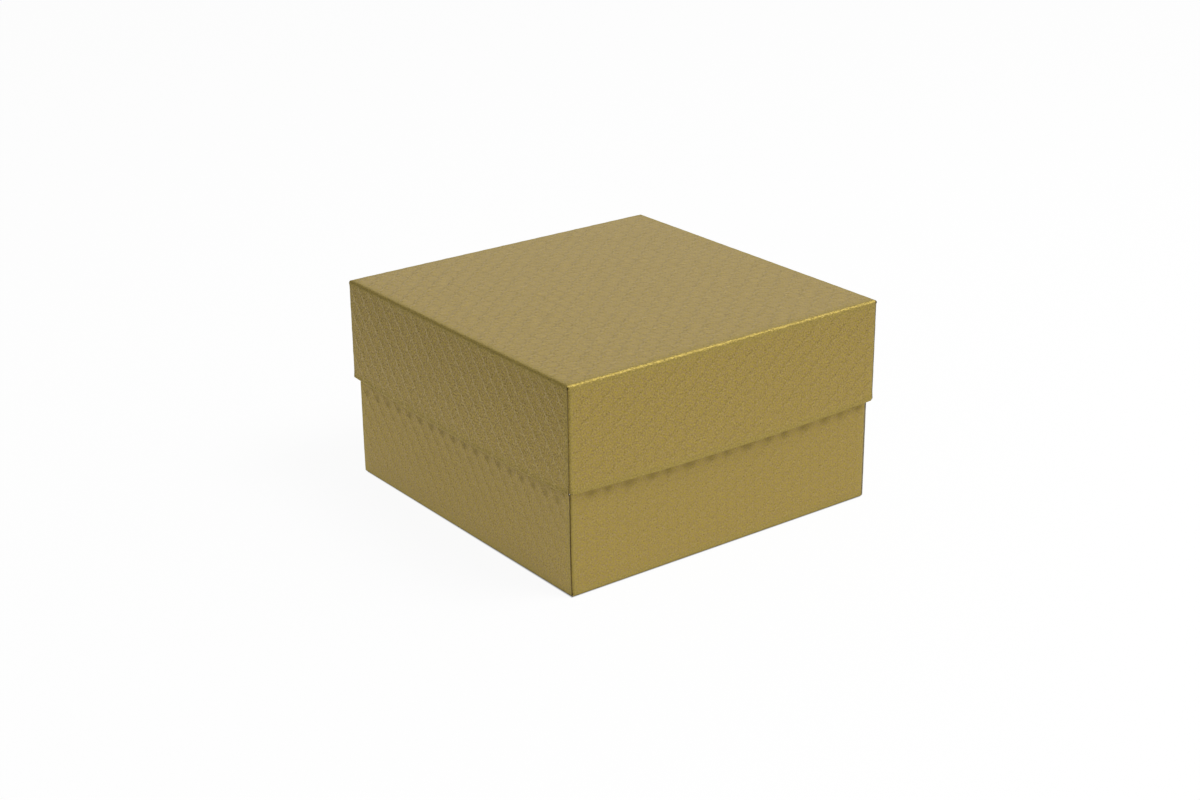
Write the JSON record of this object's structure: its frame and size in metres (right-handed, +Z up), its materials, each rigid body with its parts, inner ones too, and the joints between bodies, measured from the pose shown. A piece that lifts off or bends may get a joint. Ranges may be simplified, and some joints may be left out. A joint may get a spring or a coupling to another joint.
{
  "type": "favor box",
  "caption": "Square lid-and-base favor box folded from embossed gold card; the shallow lid telescopes down over the taller base.",
  "frame": {"origin": "centre of the base's underside, on the surface that the box stands on", "axes": "+Z up through the middle of the lid; -Y towards the front wall and -X towards the left wall, the two walls that the picture shows"},
  "size_m": [0.1, 0.1, 0.0562],
  "materials": {
    "gold_card": "satin",
    "gold_lining": "satin"
  },
  "bodies": {
    "base": {"base_floor": "gold_card", "base_front_outer_wall": "gold_card", "base_back_outer_wall": "gold_card", "base_left_outer_wall": "gold_card", "base_right_outer_wall": "gold_card", "base_front_inner_wall": "gold_lining", "base_back_inner_wall": "gold_lining", "base_left_inner_wall": "gold_lining", "base_right_inner_wall": "gold_lining", "base_front_left_corner_flap": "gold_card", "base_front_right_corner_flap": "gold_card", "base_back_left_corner_flap": "gold_card", "base_back_right_corner_flap": "gold_card"},
    "lid": {"lid_top": "gold_card", "lid_front_outer_wall": "gold_card", "lid_back_outer_wall": "gold_card", "lid_left_outer_wall": "gold_card", "lid_right_outer_wall": "gold_card", "lid_front_inner_wall": "gold_lining", "lid_back_inner_wall": "gold_lining", "lid_left_inner_wall": "gold_lining", "lid_right_inner_wall": "gold_lining", "lid_front_left_corner_flap": "gold_card", "lid_front_right_corner_flap": "gold_card", "lid_back_left_corner_flap": "gold_card", "lid_back_right_corner_flap": "gold_card"}
  },
  "joints": [
    {"name": "lid_lift", "type": "slide", "parent": "base", "child": "lid", "axis": [0, 0, 1], "range_m": [0, 0.05]}
  ]
}
